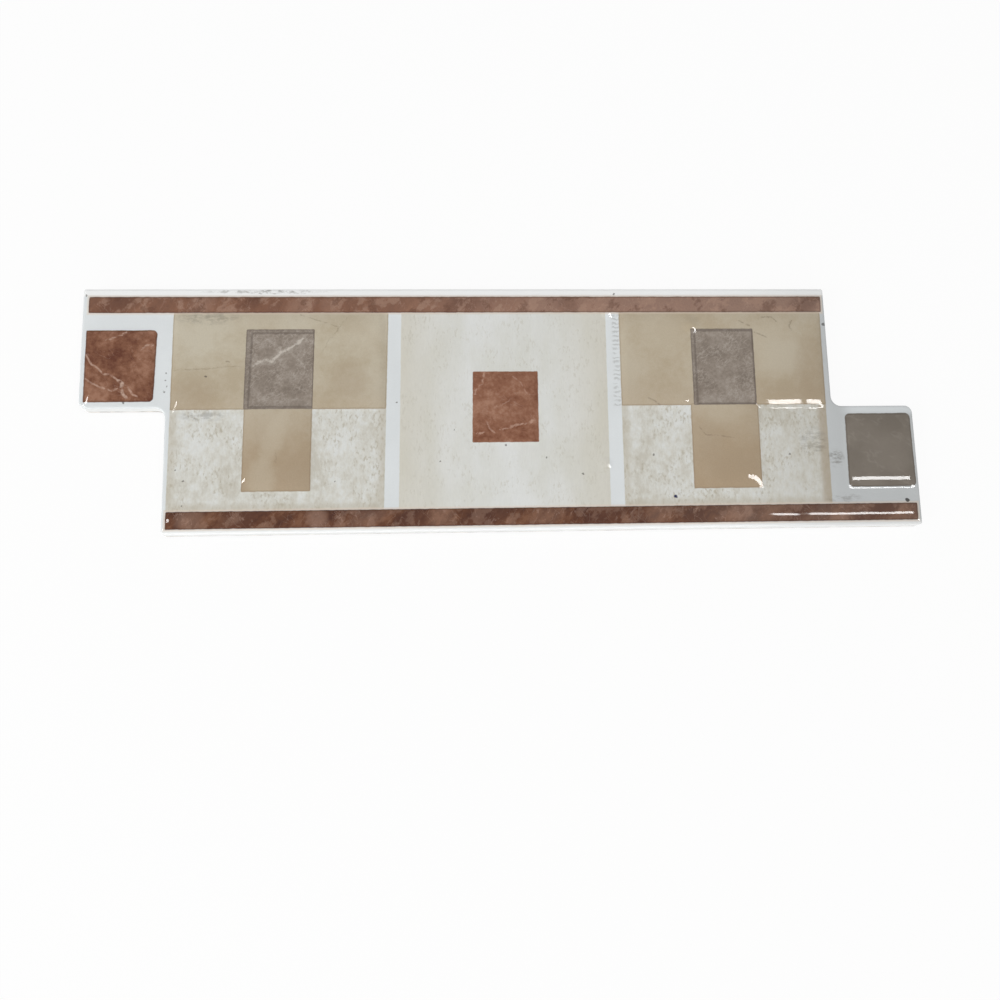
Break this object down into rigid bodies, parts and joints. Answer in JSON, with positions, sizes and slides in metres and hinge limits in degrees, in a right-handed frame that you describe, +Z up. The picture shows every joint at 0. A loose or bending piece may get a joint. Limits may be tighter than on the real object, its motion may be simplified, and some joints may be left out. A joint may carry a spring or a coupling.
{
  "type": "border tile",
  "caption": "Glazed ceramic border tile with stepped ends that interlock, low pillowed pads on its face in a stone-inlay pattern, and a keyed back for a bed of adhesive.",
  "frame": {"origin": "middle of the flat back, on the plane that the tile lies on", "axes": "+X along the border towards the end whose tab is in the lower half, +Y across it towards the side of the other tab, +Z up out of the glazed face"},
  "size_m": [0.37, 0.11, 0.008],
  "materials": {
    "glazed_tile": "gloss"
  },
  "bodies": {
    "root": {"border_tile": "glazed_tile"}
  },
  "joints": []
}
